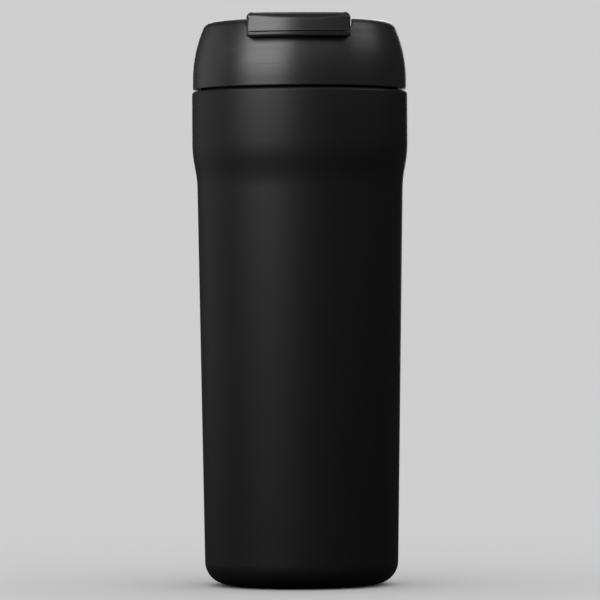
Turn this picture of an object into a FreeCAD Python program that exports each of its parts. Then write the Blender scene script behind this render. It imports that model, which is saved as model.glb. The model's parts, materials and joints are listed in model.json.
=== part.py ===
import FreeCAD, Part
import math
import os
from types import SimpleNamespace

import Sketcher

# An insulated travel mug: a double-walled steel vessel with a vacuum between its walls, a screw-on plastic
# lid over an insulated threaded plug, and a wide flip lever whose front tab hangs over the lid's shoulder.
# Millimetres. +Z is up, the origin is the middle of the foot on the table, and the lever's tab faces -Y.

# ---------------------------------------------------------------- driving dimensions

DIMENSIONS = {
    # vessel, outside
    "collar_radius": 38.0,
    "waist_radius": 36.3,
    "base_radius": 34.0,
    "base_corner": 8.0,
    "base_opening_radius": 23.6,
    "shell_lift": 0.4,
    "shell_wall": 0.6,
    "ogee_foot": 143.0,
    "ogee_head": 152.2,
    "ogee_radius": 40.0,
    "rim_height": 174.1,
    "rim_corner": 1.1,
    # vessel, inside
    "vacuum_gap": 2.6,
    "liner_wall": 0.5,
    "liner_floor": 9.0,
    "liner_corner": 12.0,
    "neck_radius": 33.4,
    "foil_wall": 0.15,
    "foil_gap": 0.3,
    "foil_foot": 24.0,
    "foil_head": 140.0,
    # vessel, foot
    "plate_rim_width": 2.0,
    "plate_rise": 2.7,
    "dimple_radius": 3.5,
    "dimple_depth": 1.4,
    "pinhole_radius": 0.5,
    "bead_depth": 1.0,
    "bead_corner": 0.6,
    "dish_wall": 0.5,
    "dish_rise": 1.6,
    "dish_corner": 0.8,
    "foot_radius": 20.8,
    "foot_thickness": 1.2,
    "foot_groove": 0.5,
    "groove_share": 0.06,
    "foot_edge": 0.3,
    "getter_radius": 4.0,
    "getter_height": 1.6,
    "getter_offset": 12.0,
    "clip_wall": 0.3,
    "clip_window_radius": 2.4,
    # thread between the vessel's neck and the lid's plug
    "thread_lead": 8.0,
    "thread_climb": 4.4,
    "thread_depth": 1.3,
    "thread_root": 2.0,
    "thread_tip": 0.9,
    "thread_clearance": 0.3,
    "bead_start": 167.6,
    "ridge_start": 165.6,
    "ridge_sink": 0.4,
    # lid
    "lid_radius": 37.7,
    "lid_foot": 174.7,
    "lid_shoulder": 186.7,
    "lid_side_radius": 47.0,
    "lid_top_radius": 33.2,
    "lid_top": 198.4,
    "lid_top_corner": 3.4,
    "lid_inner_shoulder": 186.3,
    "lid_inner_top_radius": 31.8,
    "lid_wall": 2.0,
    "lid_foot_corner": 0.4,
    "snap_lip": 0.85,
    "snap_height": 1.0,
    "recess_half_width": 18.25,
    "recess_floor": 195.6,
    "recess_back": 19.5,
    "recess_corner": 5.0,
    "recess_edge": 0.3,
    "pan_wall": 1.8,
    "port_length": 17.0,
    "port_width": 8.0,
    "port_distance": 22.5,
    "vent_radius": 1.2,
    "vent_distance": 5.0,
    "tube_wall": 1.5,
    "seal_width": 2.0,
    "seal_thickness": 1.0,
    # plug under the lid
    "plug_foot": 164.2,
    "plug_wall": 1.8,
    "flange_thickness": 2.0,
    "flange_radius": 35.4,
    "deck_height": 185.6,
    "deck_wall": 1.6,
    "cap_thickness": 1.6,
    "fit_gap": 0.1,
    "gasket_radius": 34.6,
    "gasket_corner": 0.4,
    # lever
    "hinge_back": 14.0,
    "hinge_height": 197.9,
    "pin_radius": 1.0,
    "pin_clearance": 0.06,
    "knuckle_radius": 2.0,
    "knuckle_half_width": 11.6,
    "ear_radius": 2.2,
    "ear_width": 3.2,
    "ear_gap": 0.4,
    "ear_sink": 0.2,
    "tongue_overlap": 2.0,
    "tab_radius": 39.0,
    "tab_half_width": 18.0,
    "tab_bottom": 191.6,
    "tab_top": 200.1,
    "tab_lip": 1.6,
    "tab_depth": 2.8,
    "tab_corner": 1.6,
    "lever_back": 10.5,
    "lever_back_corner": 4.0,
    "lever_underside": 196.0,
    "lever_plate": 1.6,
    "lever_skirt": 1.4,
    "lever_edge": 1.3,
    "lip_edge": 0.7,
    "stopper_lift": 0.15,
    "stopper_rim": 3.0,
    "stopper_flange": 1.7,
    "stopper_drop": 4.3,
    "stopper_taper": 10.0,
    "stopper_clearance": 0.2,
    "insert_length": 11.0,
    "insert_width": 3.2,
    "insert_rise": 1.3,
    "vent_stopper_radius": 2.6,
    "vent_nose_length": 1.2,
    # how far a cutting tool runs past the surface that it leaves or enters
    "overrun": 1.0,
}

# where the foot's ring-shaped lands end, as shares of its radius
LAND_ENDS = (0.3, 0.5, 0.7, 0.86)


class Size:
    """A length held twice: as a number, and as the expression that FreeCAD works it out from."""

    def __init__(self, value, text):
        self.value = value
        self.text = text

    def __add__(self, other):
        other = as_size(other)
        return Size(self.value + other.value, f"({self.text} + {other.text})")

    def __sub__(self, other):
        other = as_size(other)
        return Size(self.value - other.value, f"({self.text} - {other.text})")

    def __mul__(self, other):
        other = as_size(other)
        return Size(self.value * other.value, f"({self.text} * {other.text})")

    def __truediv__(self, other):
        other = as_size(other)
        return Size(self.value / other.value, f"({self.text} / {other.text})")

    def __neg__(self):
        return Size(-self.value, f"(0 - {self.text})")


def as_size(number):
    return number if isinstance(number, Size) else Size(float(number), str(float(number)))


ZERO = as_size(0)

doc = FreeCAD.newDocument("TravelMug")


def fill_sheet():
    """Writes the driving dimensions to a spreadsheet and returns them as sizes bound to its cells."""
    sheet = doc.addObject("Spreadsheet::Sheet", "Sizes")
    bound = {}
    for row, (alias, number) in enumerate(DIMENSIONS.items(), start=1):
        sheet.set(f"A{row}", alias)
        sheet.set(f"B{row}", str(number))
        sheet.setAlias(f"B{row}", alias)
        bound[alias] = Size(number, f"Sizes.{alias}")
    doc.recompute()
    return SimpleNamespace(**bound)


s = fill_sheet()


def bind(thing, prop, size):
    thing.setExpression(prop, as_size(size).text)


# ---------------------------------------------------------------- sketches

ORIGIN_POINT = (-1, 1)
ACROSS_AXIS = -1
UP_AXIS = -2


def new_body(label):
    body = doc.addObject("PartDesign::Body", label)
    body.Label = label
    return body


def new_sketch(body, name, plane, offset=ZERO):
    """A sketch on one of the body's own origin planes, moved along the plane's normal by offset."""
    sketch = body.newObject("Sketcher::SketchObject", name)
    support = next(f for f in body.Origin.OriginFeatures if f.Role == plane)
    sketch.AttachmentSupport = [(support, "")]
    sketch.MapMode = "FlatFace"
    if offset.value:
        bind(sketch, "AttachmentOffset.Base.z", offset)
    return sketch


class Rules:
    """Collects a sketch's constraints, and binds those with a size to it once they are all in."""

    def __init__(self, sketch):
        self.sketch = sketch
        self.found = []
        self.bound = []

    def add(self, *words, size=None):
        if size is not None:
            self.bound.append((len(self.found), size))
            words = (*words, size.value)
        self.found.append(Sketcher.Constraint(*words))

    def place(self, shape, end, across, up):
        """Fixes a point at a distance across and up from the sketch's origin."""
        for kind, axis, size in (("DistanceX", UP_AXIS, across), ("DistanceY", ACROSS_AXIS, up)):
            if size.value == 0:
                self.add("PointOnObject", shape, end, axis)
            else:
                self.add(kind, *ORIGIN_POINT, shape, end, size=size)

    def apply(self):
        self.sketch.addConstraint(self.found)
        for index, size in self.bound:
            bind(self.sketch, f"Constraints[{index}]", size)


def vector(across, up):
    return FreeCAD.Vector(across, up, 0)


def fillet_arc(before, corner, after, radius):
    """The arc that rounds a corner: its geometry, its two tangent points, and whether it turns left."""
    back = (before - corner).normalize()
    on = (after - corner).normalize()
    half = back.getAngle(on) / 2
    reach = radius / math.tan(half)
    first = corner + back * reach
    last = corner + on * reach
    middle = corner + (back + on).normalize() * (radius / math.sin(half))
    left = (corner - before).cross(after - corner).z > 0
    start, end = (first, last) if left else (last, first)
    angles = [math.atan2(p.y - middle.y, p.x - middle.x) for p in (start, end)]
    if angles[1] < angles[0]:
        angles[1] += 2 * math.pi
    circle = Part.Circle(middle, FreeCAD.Vector(0, 0, 1), radius)
    return Part.ArcOfCircle(circle, *angles), first, last, left


def draw_outline(sketch, corners):
    """Draws a closed outline. A corner is (across, up), or (across, up, radius) where it is rounded."""
    corners = [tuple(as_size(c) for c in corner) for corner in corners]
    points = [vector(c[0].value, c[1].value) for c in corners]
    count = len(corners)
    leaves = list(points)
    arrives = list(points)
    arcs = {}
    for i, corner in enumerate(corners):
        if len(corner) == 3:
            before, after = points[i - 1], points[(i + 1) % count]
            arc, arrives[i], leaves[i], left = fillet_arc(before, points[i], after, corner[2].value)
            arcs[i] = (arc, left)
    for i in range(count):
        sketch.addGeometry(Part.LineSegment(leaves[i], arrives[(i + 1) % count]), False)
    rules = Rules(sketch)
    for i, corner in enumerate(corners):
        before = (i - 1) % count
        if i not in arcs:
            rules.add("Coincident", before, 2, i, 1)
            rules.place(i, 1, corner[0], corner[1])
            continue
        arc, left = arcs[i]
        arc_id = sketch.addGeometry(arc, False)
        point_id = sketch.addGeometry(Part.Point(points[i]), True)
        first, last = (1, 2) if left else (2, 1)
        rules.add("Tangent", before, 2, arc_id, first)
        rules.add("Tangent", arc_id, last, i, 1)
        rules.add("PointOnObject", point_id, 1, before)
        rules.add("PointOnObject", point_id, 1, i)
        rules.place(point_id, 1, corner[0], corner[1])
        rules.add("Radius", arc_id, size=corner[2])
    rules.apply()


def draw_circle(sketch, across, up, radius):
    circle = Part.Circle(vector(across.value, up.value), FreeCAD.Vector(0, 0, 1), radius.value)
    circle_id = sketch.addGeometry(circle, False)
    rules = Rules(sketch)
    rules.place(circle_id, 3, across, up)
    rules.add("Radius", circle_id, size=radius)
    rules.apply()


def draw_slot(sketch, up, length, width):
    """A round-ended slot that lies across the sketch, centred on its up axis."""
    reach = (length.value - width.value) / 2
    radius = width.value / 2
    normal = FreeCAD.Vector(0, 0, 1)
    right = Part.Circle(vector(reach, up.value), normal, radius)
    left = Part.Circle(vector(-reach, up.value), normal, radius)
    quarter = math.pi / 2
    sketch.addGeometry([
        Part.ArcOfCircle(right, -quarter, quarter),
        Part.LineSegment(vector(reach, up.value + radius), vector(-reach, up.value + radius)),
        Part.ArcOfCircle(left, quarter, 3 * quarter),
        Part.LineSegment(vector(-reach, up.value - radius), vector(reach, up.value - radius)),
    ], False)
    rules = Rules(sketch)
    rules.add("Tangent", 0, 2, 1, 1)
    rules.add("Tangent", 1, 2, 2, 1)
    rules.add("Tangent", 2, 2, 3, 1)
    rules.add("Tangent", 3, 2, 0, 1)
    rules.place(0, 3, (length - width) * 0.5, up)
    rules.place(2, 3, (length - width) * -0.5, up)
    rules.add("Radius", 0, size=width * 0.5)
    rules.apply()


# ---------------------------------------------------------------- features


def turn(body, name, corners):
    """Turns an outline of (radius, height) corners into a ring or disc about the Z axis."""
    sketch = new_sketch(body, f"{name}_outline", "XZ_Plane")
    draw_outline(sketch, corners)
    ring = body.newObject("PartDesign::Revolution", name)
    ring.Profile = sketch
    ring.ReferenceAxis = (sketch, ["V_Axis"])
    ring.Angle = 360
    return ring


def turned_body(label, corners):
    body = new_body(label)
    turn(body, f"{label}_turned", corners)
    doc.recompute()
    return body


def extrude(body, kind, name, sketch, length, downward=False):
    feature = body.newObject(f"PartDesign::{kind}", name)
    feature.Profile = sketch
    bind(feature, "Length", length)
    feature.Reversed = downward
    return feature


def pad_outline(body, name, corners, low, high):
    """Pads an outline of (x, y) corners from one height to another."""
    sketch = new_sketch(body, f"{name}_outline", "XY_Plane", low)
    draw_outline(sketch, corners)
    return extrude(body, "Pad", name, sketch, high - low)


def pad_slot(body, name, up, length, width, low, high):
    sketch = new_sketch(body, f"{name}_outline", "XY_Plane", low)
    draw_slot(sketch, up, length, width)
    return extrude(body, "Pad", name, sketch, high - low)


def pad_disc(body, name, up, radius, low, high):
    sketch = new_sketch(body, f"{name}_outline", "XY_Plane", low)
    draw_circle(sketch, ZERO, up, radius)
    return extrude(body, "Pad", name, sketch, high - low)


def cut_slot(body, name, up, length, width, low, high):
    """Cuts a round-ended slot upwards from one height to another, and checks that it took something away."""
    sketch = new_sketch(body, f"{name}_outline", "XY_Plane", low)
    draw_slot(sketch, up, length, width)
    return cut_upward(body, name, sketch, high - low)


def cut_disc(body, name, up, radius, low, high):
    sketch = new_sketch(body, f"{name}_outline", "XY_Plane", low)
    draw_circle(sketch, ZERO, up, radius)
    return cut_upward(body, name, sketch, high - low)


def cut_upward(body, name, sketch, length):
    doc.recompute()
    before = body.Shape.Volume
    pocket = extrude(body, "Pocket", name, sketch, length, downward=True)
    doc.recompute()
    if body.Shape.Volume > before - 1e-3:
        raise RuntimeError(f"{name} cut nothing from {body.Label}")
    return pocket


def add_thread(body, name, root_radius, tip_radius, start_height):
    """Winds a two-start trapezoidal thread about Z, from root_radius to tip_radius."""
    root = s.thread_root * 0.5
    tip = s.thread_tip * 0.5
    sketch = new_sketch(body, f"{name}_outline", "XZ_Plane")
    draw_outline(sketch, [
        (root_radius, start_height - root),
        (tip_radius, start_height - tip),
        (tip_radius, start_height + tip),
        (root_radius, start_height + root),
    ])
    helix = body.newObject("PartDesign::AdditiveHelix", name)
    helix.Profile = sketch
    helix.ReferenceAxis = (sketch, ["V_Axis"])
    helix.Mode = "pitch-height-angle"
    bind(helix, "Pitch", s.thread_lead)
    bind(helix, "Height", s.thread_climb)
    doc.recompute()
    starts = body.newObject("PartDesign::PolarPattern", f"{name}_starts")
    starts.Originals = [helix]
    starts.Axis = (sketch, ["V_Axis"])
    starts.Angle = 360
    starts.Occurrences = 2
    body.Tip = starts
    doc.recompute()


def cylinder_across(name, radius, half_width):
    """A cylinder along X, on the lever's hinge axis."""
    rod = doc.addObject("Part::Cylinder", name)
    bind(rod, "Radius", radius)
    bind(rod, "Height", half_width * 2)
    rod.Placement.Rotation = FreeCAD.Rotation(FreeCAD.Vector(0, 1, 0), 90)
    bind(rod, "Placement.Base.x", -half_width)
    bind(rod, "Placement.Base.y", s.hinge_back)
    bind(rod, "Placement.Base.z", s.hinge_height)
    return rod


def combine(kind, label, shapes):
    joined = doc.addObject(f"Part::Multi{kind}", label)
    joined.Shapes = shapes
    joined.Refine = True
    return joined


def fuse(label, *shapes):
    return combine("Fuse", label, list(shapes))


def cut(label, base, tool):
    left = doc.addObject("Part::Cut", label)
    left.Base = base
    left.Tool = tool
    left.Refine = True
    return left


# ---------------------------------------------------------------- vessel

shell_floor = s.shell_lift + s.shell_wall
liner_waist = s.waist_radius - s.shell_wall - s.vacuum_gap
liner_base = s.base_radius - s.shell_wall - s.vacuum_gap
weld_radius = s.neck_radius + s.liner_wall


def make_outer_shell():
    """The coated outer wall: rounded foot, slight taper, an ogee out to the collar, and a turned-in rim."""
    inner_ledge = s.rim_height - s.shell_wall
    inner_collar = s.collar_radius - s.shell_wall
    return turned_body("outer_shell", [
        (s.base_opening_radius, s.shell_lift),
        (s.base_radius, s.shell_lift, s.base_corner),
        (s.waist_radius, s.ogee_foot, s.ogee_radius),
        (s.collar_radius, s.ogee_head, s.ogee_radius),
        (s.collar_radius, s.rim_height, s.rim_corner),
        (weld_radius, s.rim_height),
        (weld_radius, inner_ledge),
        (inner_collar, inner_ledge, s.rim_corner - s.shell_wall),
        (inner_collar, s.ogee_head, s.ogee_radius - s.shell_wall),
        (s.waist_radius - s.shell_wall, s.ogee_foot, s.ogee_radius + s.shell_wall),
        (s.base_radius - s.shell_wall, shell_floor, s.base_corner - s.shell_wall),
        (s.base_opening_radius, shell_floor),
    ])


def make_inner_vessel():
    """The bare steel liner that holds the drink, with the lid's thread rolled into its neck."""
    wall = s.liner_wall
    body = new_body("inner_vessel")
    turn(body, "liner", [
        (ZERO, s.liner_floor - wall),
        (liner_base, s.liner_floor - wall, s.liner_corner + wall),
        (liner_waist, s.ogee_foot, s.ogee_radius + wall),
        (weld_radius, s.ogee_head, s.ogee_radius),
        (weld_radius, s.rim_height),
        (s.neck_radius, s.rim_height),
        (s.neck_radius, s.ogee_head, s.ogee_radius + wall),
        (liner_waist - wall, s.ogee_foot, s.ogee_radius),
        (liner_base - wall, s.liner_floor, s.liner_corner),
        (ZERO, s.liner_floor),
    ])
    doc.recompute()
    root = s.neck_radius + wall * 0.5
    add_thread(body, "neck_bead", root, s.neck_radius - s.thread_depth, s.bead_start)
    return body


def make_vacuum_end_plate():
    """Closes the vacuum space: welded edge to edge into the shell's opening, with the evacuation dimple."""
    wall = s.shell_wall
    step = s.base_opening_radius - s.plate_rim_width
    raised = s.shell_lift + s.plate_rise
    dimple = raised + s.dimple_depth
    return turned_body("vacuum_end_plate", [
        (s.base_opening_radius, s.shell_lift),
        (s.base_opening_radius, shell_floor),
        (step, shell_floor),
        (step, raised + wall),
        (s.dimple_radius + wall, raised + wall),
        (s.dimple_radius + wall, dimple + wall),
        (s.pinhole_radius, dimple + wall),
        (s.pinhole_radius, dimple),
        (s.dimple_radius, dimple),
        (s.dimple_radius, raised),
        (step - wall, raised),
        (step - wall, s.shell_lift),
    ])


def make_evacuation_bead():
    """The drop of solder glass that seals the evacuation hole."""
    dimple = s.shell_lift + s.plate_rise + s.dimple_depth
    radius = s.dimple_radius - s.fit_gap
    return turned_body("evacuation_bead", [
        (ZERO, dimple - s.bead_depth),
        (radius, dimple - s.bead_depth, s.bead_corner),
        (radius, dimple),
        (ZERO, dimple),
    ])


def make_base_cover():
    """A shallow pressed steel dish that hides the end plate and carries the foot."""
    wall = s.dish_wall
    radius = s.base_opening_radius - s.plate_rim_width - s.shell_wall
    rim = s.foot_thickness + s.dish_rise
    return turned_body("base_cover", [
        (ZERO, s.foot_thickness),
        (radius, s.foot_thickness, s.dish_corner),
        (radius, rim),
        (radius - wall, rim),
        (radius - wall, s.foot_thickness + wall),
        (ZERO, s.foot_thickness + wall),
    ])


def make_base_pad():
    """The silicone foot that the mug stands on, with ring grooves in its underside."""
    radius = s.foot_radius
    corners = [(ZERO, s.foot_thickness), (ZERO, ZERO)]
    for land_end in LAND_ENDS:
        start = radius * land_end
        end = radius * (s.groove_share + land_end)
        corners += [(start, ZERO), (start, s.foot_groove), (end, s.foot_groove), (end, ZERO)]
    corners += [(radius, ZERO, s.foot_edge), (radius, s.foot_thickness)]
    return turned_body("base_pad", corners)


def make_reflective_foil():
    """Copper foil wrapped round the liner, inside the vacuum."""
    climb = (s.waist_radius - s.base_radius) / (s.ogee_foot - s.shell_lift)
    foot = liner_base + s.foil_gap + (s.foil_foot - s.shell_lift) * climb
    head = liner_base + s.foil_gap + (s.foil_head - s.shell_lift) * climb
    return turned_body("reflective_foil", [
        (foot, s.foil_foot),
        (head, s.foil_head),
        (head + s.foil_wall, s.foil_head),
        (foot + s.foil_wall, s.foil_foot),
    ])


def make_getter():
    """The getter pellet that soaks up stray gas, and the steel clip that holds it under the liner."""
    ceiling = s.liner_floor - s.liner_wall
    clip = new_body("getter_clip")
    outer = s.getter_radius + s.clip_wall
    sketch = new_sketch(clip, "clip_outline", "XY_Plane", ceiling - s.getter_height - s.clip_wall)
    draw_circle(sketch, s.getter_offset, ZERO, outer)
    extrude(clip, "Pad", "clip_cup", sketch, s.getter_height + s.clip_wall)
    for name, low, radius in (
        ("clip_hollow", ceiling - s.getter_height, s.getter_radius),
        ("clip_window", ceiling - s.getter_height - s.clip_wall, s.clip_window_radius),
    ):
        sketch = new_sketch(clip, f"{name}_outline", "XY_Plane", low)
        draw_circle(sketch, s.getter_offset, ZERO, radius)
        cut_upward(clip, name, sketch, ceiling - low)
    pellet = new_body("getter_pellet")
    sketch = new_sketch(pellet, "pellet_outline", "XY_Plane", ceiling - s.getter_height)
    draw_circle(sketch, s.getter_offset, ZERO, s.getter_radius)
    extrude(pellet, "Pad", "pellet_disc", sketch, s.getter_height)
    return clip, pellet


# ---------------------------------------------------------------- lid

port_y = -s.port_distance
vent_y = -s.vent_distance
pan_underside = s.recess_floor - s.pan_wall
tube_top = pan_underside - s.seal_thickness
tube_length = s.port_length + s.tube_wall * 2
tube_width = s.port_width + s.tube_wall * 2
plug_radius = s.neck_radius - s.thread_depth - s.thread_clearance
flange_underside = s.lid_foot + s.snap_height
cavity_radius = s.lid_radius - s.lid_wall


def make_lid_outside():
    """The lid's domed form, before the recess and the hollow."""
    return turned_body("lid_outside", [
        (ZERO, s.lid_foot),
        (s.lid_radius, s.lid_foot, s.lid_foot_corner),
        (s.lid_radius, s.lid_shoulder, s.lid_side_radius),
        (s.lid_top_radius, s.lid_top, s.lid_top_corner),
        (ZERO, s.lid_top),
    ])


def make_lid_inside():
    """The hollow under the dome, which the snap lip narrows at its mouth."""
    top = s.lid_top - s.lid_wall
    return turned_body("lid_inside", [
        (ZERO, s.lid_foot),
        (cavity_radius - s.snap_lip, s.lid_foot),
        (cavity_radius - s.snap_lip, flange_underside),
        (cavity_radius, flange_underside),
        (cavity_radius, s.lid_inner_shoulder, s.lid_side_radius - s.lid_wall),
        (s.lid_inner_top_radius, top, s.lid_top_corner - s.lid_wall),
        (ZERO, top),
    ])


def make_lid_cover():
    """The domed cover: a recess for the lever across its top, hinge ears, the drink port and the vent."""
    outside = make_lid_outside()
    inside = make_lid_inside()
    front = -s.lid_radius - s.overrun
    half = s.recess_half_width
    recess = new_body("lever_recess")
    pad_outline(recess, "recess_pad", [
        (-half, front),
        (half, front),
        (half, s.recess_back, s.recess_corner),
        (-half, s.recess_back, s.recess_corner),
    ], s.recess_floor, s.lid_top + s.overrun)
    wide = half + s.pan_wall
    back = s.recess_back + s.pan_wall
    corner = s.recess_corner + s.pan_wall
    pan = new_body("recess_pan")
    pad_outline(pan, "pan_pad", [
        (-wide, front),
        (wide, front),
        (wide, back, corner),
        (-wide, back, corner),
    ], pan_underside, s.lid_top + s.overrun)

    ears = []
    for side, name in ((1, "ear_right"), (-1, "ear_left")):
        near = (s.knuckle_half_width + s.ear_gap) * side
        far = (s.knuckle_half_width + s.ear_gap + s.ear_width) * side
        left, right = (near, far) if side > 0 else (far, near)
        sketch_body = new_body(name)
        sketch = new_sketch(sketch_body, f"{name}_outline", "YZ_Plane", left)
        draw_ear(sketch)
        extrude(sketch_body, "Pad", f"{name}_pad", sketch, right - left)
        ears.append(sketch_body)

    hole_foot = pan_underside - s.overrun
    hole_head = s.recess_floor + s.overrun
    port = new_body("port_bore")
    pad_slot(port, "port_hole", port_y, s.port_length, s.port_width, hole_foot, hole_head)
    vent = new_body("vent_bore")
    pad_disc(vent, "vent_hole", vent_y, s.vent_radius, hole_foot, hole_head)
    pin_bore = cylinder_across("ear_bore", s.pin_radius, s.recess_half_width - s.overrun)
    doc.recompute()

    dished = cut("lid_dished", outside, recess)
    cavity = cut("lid_cavity", inside, pan)
    shell = cut("lid_shell", dished, cavity)
    eared = fuse("lid_eared", shell, *ears)
    bored = cut("lid_bored", eared, fuse("lid_bores", port, vent, pin_bore))
    return rounded("lid_cover", bored, s.recess_edge, on_recess_mouth)


def on_recess_wall(point):
    """Whether a point lies on the upright wall round the lever's recess."""
    across = abs(point.x)
    half = s.recess_half_width.value
    back = s.recess_back.value
    corner = s.recess_corner.value
    if across < half - corner:
        return abs(point.y - back) < 1e-3
    if point.y < back - corner:
        return abs(across - half) < 1e-3
    return abs(math.hypot(across - half + corner, point.y - back + corner) - corner) < 1e-3


def on_recess_mouth(edge):
    """Picks the edges round the mouth of the recess, at the sides and the back."""
    floor = s.recess_floor.value
    span = edge.LastParameter - edge.FirstParameter
    points = [edge.valueAt(edge.FirstParameter + span * share) for share in (0.0, 0.25, 0.5, 0.75, 1.0)]
    upright = math.hypot(points[0].x - points[-1].x, points[0].y - points[-1].y) < 1e-3
    above = max(point.z for point in points) > floor + 1e-3
    return above and not upright and all(on_recess_wall(point) and point.z > floor - 1e-3 for point in points)


def rounded(label, base, radius, chosen):
    """Rounds the edges of base that chosen picks out."""
    doc.recompute()
    soft = doc.addObject("Part::Fillet", label)
    soft.Base = base
    soft.Edges = [
        (number, radius.value, radius.value)
        for number, edge in enumerate(base.Shape.Edges, start=1)
        if chosen(edge)
    ]
    return soft


def draw_ear(sketch):
    """A lug that stands on the recess floor, with its head rounded about the hinge axis."""
    radius = s.ear_radius.value
    middle = vector(s.hinge_back.value, s.hinge_height.value)
    low = (s.recess_floor - s.ear_sink).value
    circle = Part.Circle(middle, FreeCAD.Vector(0, 0, 1), radius)
    sketch.addGeometry([
        Part.ArcOfCircle(circle, 0, math.pi),
        Part.LineSegment(vector(middle.x - radius, middle.y), vector(middle.x - radius, low)),
        Part.LineSegment(vector(middle.x - radius, low), vector(middle.x + radius, low)),
        Part.LineSegment(vector(middle.x + radius, low), vector(middle.x + radius, middle.y)),
    ], False)
    rules = Rules(sketch)
    rules.add("Tangent", 0, 2, 1, 1)
    rules.add("Coincident", 1, 2, 2, 1)
    rules.add("Coincident", 2, 2, 3, 1)
    rules.add("Tangent", 3, 2, 0, 1)
    rules.add("Horizontal", 2)
    rules.add("Vertical", 1)
    rules.place(0, 3, s.hinge_back, s.hinge_height)
    rules.add("Radius", 0, size=s.ear_radius)
    rules.add("DistanceY", *ORIGIN_POINT, 1, 2, size=s.recess_floor - s.ear_sink)
    rules.apply()


def make_lid_core():
    """The threaded plug: skirt, flange, deck, and the drink and vent tubes that rise to the cover's floor."""
    inner = plug_radius - s.plug_wall
    body = new_body("lid_core")
    turn(body, "core", [
        (inner, s.plug_foot),
        (plug_radius, s.plug_foot),
        (plug_radius, flange_underside),
        (s.flange_radius, flange_underside),
        (s.flange_radius, flange_underside + s.flange_thickness),
        (plug_radius, flange_underside + s.flange_thickness),
        (plug_radius, s.deck_height),
        (ZERO, s.deck_height),
        (ZERO, s.deck_height - s.deck_wall),
        (inner, s.deck_height - s.deck_wall),
    ])
    doc.recompute()
    root = plug_radius - s.ridge_sink
    add_thread(body, "plug_ridge", root, plug_radius + s.thread_depth, s.ridge_start)
    seat = s.seal_width * 2
    seat_low = tube_top - s.flange_thickness
    pad_slot(body, "drink_tube", port_y, tube_length, tube_width, s.plug_foot, tube_top)
    pad_slot(body, "drink_seat", port_y, s.port_length + seat, s.port_width + seat, seat_low, tube_top)
    pad_disc(body, "vent_tube", vent_y, s.vent_radius + s.tube_wall, s.plug_foot, tube_top)
    cut_slot(body, "drink_bore", port_y, s.port_length, s.port_width, s.plug_foot, tube_top)
    cut_disc(body, "vent_bore_below", vent_y, s.vent_radius, s.plug_foot, tube_top)
    return body


def make_seals():
    """Flat silicone rings that seal the two tubes against the underside of the cover's floor."""
    port = new_body("port_seal")
    seat = s.seal_width * 2
    pad_slot(port, "seal_pad", port_y, s.port_length + seat, s.port_width + seat, tube_top, pan_underside)
    cut_slot(port, "seal_hole", port_y, s.port_length, s.port_width, tube_top, pan_underside)
    vent = new_body("vent_seal")
    pad_disc(vent, "vent_seal_pad", vent_y, s.vent_radius + s.tube_wall, tube_top, pan_underside)
    cut_disc(vent, "vent_seal_hole", vent_y, s.vent_radius, tube_top, pan_underside)
    return port, vent


def make_plug_filling():
    """The foam disc that insulates the plug, and the cap that closes it in."""
    inner = plug_radius - s.plug_wall
    made = []
    for label, low, high, gap in (
        ("lid_foam", s.plug_foot + s.cap_thickness, s.deck_height - s.deck_wall, s.fit_gap * 2),
        ("plug_cap", s.plug_foot, s.plug_foot + s.cap_thickness, s.fit_gap),
    ):
        body = turned_body(label, [(ZERO, low), (inner - gap, low), (inner - gap, high), (ZERO, high)])
        room = gap * 2
        cut_slot(body, f"{label}_tube_hole", port_y, tube_length + room, tube_width + room, low, high)
        cut_disc(body, f"{label}_vent_hole", vent_y, s.vent_radius + s.tube_wall + gap, low, high)
        made.append(body)
    return made


def make_mouth_gasket():
    """The silicone ring between the plug's flange and the vessel's rim."""
    gap = s.fit_gap * 0.5
    bore = plug_radius + s.fit_gap * 2
    return turned_body("mouth_gasket", [
        (bore, s.rim_height + gap),
        (s.gasket_radius, s.rim_height + gap, s.gasket_corner),
        (s.gasket_radius, flange_underside - gap, s.gasket_corner),
        (bore, flange_underside - gap),
    ])


def make_hinge_pin():
    half = s.knuckle_half_width + s.ear_gap + s.ear_width
    pin = cylinder_across("hinge_pin", s.pin_radius, half)
    pin.Label = "hinge_pin"
    return pin


# ---------------------------------------------------------------- lever

ceiling = s.tab_top - s.lever_plate
lip_top = s.tab_bottom + s.tab_lip
stopper_foot = s.recess_floor + s.stopper_lift
stopper_head_top = stopper_foot + s.stopper_flange


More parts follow.
